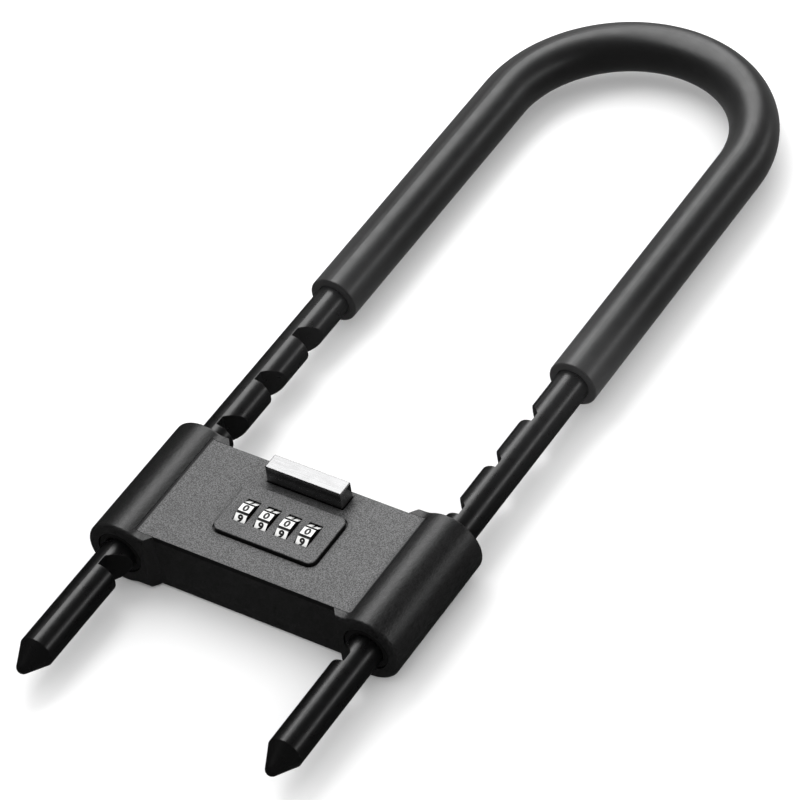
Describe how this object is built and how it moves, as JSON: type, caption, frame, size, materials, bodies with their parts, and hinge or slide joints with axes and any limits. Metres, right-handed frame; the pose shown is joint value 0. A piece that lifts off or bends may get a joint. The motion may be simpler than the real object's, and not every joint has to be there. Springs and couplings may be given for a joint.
{
  "type": "u lock",
  "caption": "Adjustable U-shaped bicycle lock: a sleeved steel shackle with notched legs slides through a flat combination lock body with number dials and a raised locking bar.",
  "frame": {"origin": "middle of the flat back of the lock body, on its outer face", "axes": "+Z out of the dial face, +Y along the shackle legs towards the bend, +X across the legs to the right seen from the dial side with the bend up"},
  "size_m": [0.1264, 0.3831, 0.0317],
  "materials": {
    "body_black": "black, fine sandblasted grain, satin",
    "plate_grey": "dark grey, fine sparkle grain",
    "panel_grey": "dark grey, fine sparkle grain",
    "rod_black": "smooth black, semi-gloss",
    "sleeve_rubber": "smooth satin",
    "seal_rubber": "matt",
    "bar_chrome": "polished",
    "dial_white": "satin, black figures",
    "steel": "plain zinc plated",
    "spring_steel": "bright wire",
    "screw_black": "black oxide",
    "brass": "turned"
  },
  "bodies": {
    "lock_body": {"lock_housing": "body_black", "front_plate": "plate_grey", "dial_bezel": "panel_grey", "rear_cover": "plate_grey", "rear_cover_screws": "screw_black", "front_plate_screws": "steel", "left_lower_seal": "seal_rubber", "left_upper_seal": "seal_rubber", "right_lower_seal": "seal_rubber", "right_upper_seal": "seal_rubber", "dial_frame": "steel", "dial_frame_screws": "steel", "dial_spindle": "steel", "spindle_spring": "spring_steel", "detent_spring": "spring_steel", "detent_rivets": "brass", "bar_spring": "spring_steel", "left_bolt_keeper": "steel", "right_bolt_keeper": "steel", "left_bolt_spring": "spring_steel", "right_bolt_spring": "spring_steel", "keeper_screws": "steel"},
    "shackle": {"shackle": "rod_black", "shackle_sleeve": "sleeve_rubber"},
    "bar": {"lock_bar": "bar_chrome", "wedge_driver": "steel", "bar_screws": "steel", "locking_comb": "steel", "comb_rivets": "brass"},
    "left_bolt": {"left_bolt": "steel"},
    "right_bolt": {"right_bolt": "steel"},
    "dial_1": {"dial_ring_1": "dial_white", "dial_hub_1": "brass"},
    "dial_2": {"dial_ring_2": "dial_white", "dial_hub_2": "brass"},
    "dial_3": {"dial_ring_3": "dial_white", "dial_hub_3": "brass"},
    "dial_4": {"dial_ring_4": "dial_white", "dial_hub_4": "brass"}
  },
  "joints": [
    {"name": "shackle_slide", "type": "slide", "parent": "lock_body", "child": "shackle", "axis": [0, 1, 0], "range_m": [-0.0744, 0.124]},
    {"name": "bar_press", "type": "slide", "parent": "lock_body", "child": "bar", "axis": [0, 0, -1], "range_m": [0, 0.005], "stiffness_N_per_m": 700, "springref_m": -0.003, "deforming": ["bar_spring"]},
    {"name": "left_bolt_throw", "type": "slide", "parent": "lock_body", "child": "left_bolt", "axis": [-1, 0, 0], "range_m": [0, 0.00625], "deforming": ["left_bolt_spring"]},
    {"name": "right_bolt_throw", "type": "slide", "parent": "lock_body", "child": "right_bolt", "axis": [1, 0, 0], "range_m": [0, 0.00625], "deforming": ["right_bolt_spring"]},
    {"name": "dial_1_turn", "type": "hinge", "parent": "lock_body", "child": "dial_1", "pos_m": [-0.01345, -0.0007, 0.0189], "axis": [1, 0, 0], "continuous": true},
    {"name": "dial_2_turn", "type": "hinge", "parent": "lock_body", "child": "dial_2", "pos_m": [-0.00505, -0.0007, 0.0189], "axis": [1, 0, 0], "continuous": true},
    {"name": "dial_3_turn", "type": "hinge", "parent": "lock_body", "child": "dial_3", "pos_m": [0.00335, -0.0007, 0.0189], "axis": [1, 0, 0], "continuous": true},
    {"name": "dial_4_turn", "type": "hinge", "parent": "lock_body", "child": "dial_4", "pos_m": [0.01175, -0.0007, 0.0189], "axis": [1, 0, 0], "continuous": true}
  ],
  "couplings": [
    {"joint": "left_bolt_throw", "follows": "bar_press", "ratio": 1.25},
    {"joint": "right_bolt_throw", "follows": "bar_press", "ratio": 1.25}
  ]
}
